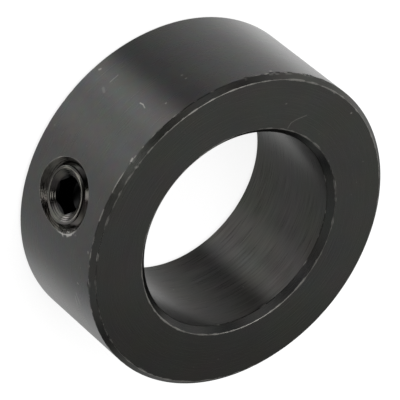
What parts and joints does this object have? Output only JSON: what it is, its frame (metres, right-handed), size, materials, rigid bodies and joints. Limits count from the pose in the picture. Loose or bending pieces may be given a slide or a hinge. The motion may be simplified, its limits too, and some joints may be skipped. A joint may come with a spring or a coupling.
{
  "type": "shaft collar",
  "caption": "Steel shaft collar that a hexagon socket set screw clamps to a round shaft, to locate or stop what runs beside it.",
  "frame": {"origin": "centre of the back end face, on the bore's axis, where the collar rests", "axes": "+Z along the bore, from the back end face to the front one; +X along the set screw, outwards"},
  "size_m": [0.04, 0.04, 0.016],
  "materials": {
    "collar_steel": "turned steel, black oxide, worn bright along the edges",
    "screw_steel": "alloy steel, black oxide, oiled and glossy"
  },
  "bodies": {
    "collar": {"collar_ring": "collar_steel"},
    "screw": {"set_screw": "screw_steel"}
  },
  "joints": [
    {"name": "set_screw_travel", "type": "slide", "parent": "collar", "child": "screw", "axis": [1, 0, 0], "range_m": [-0.00125, 0.0075]}
  ]
}
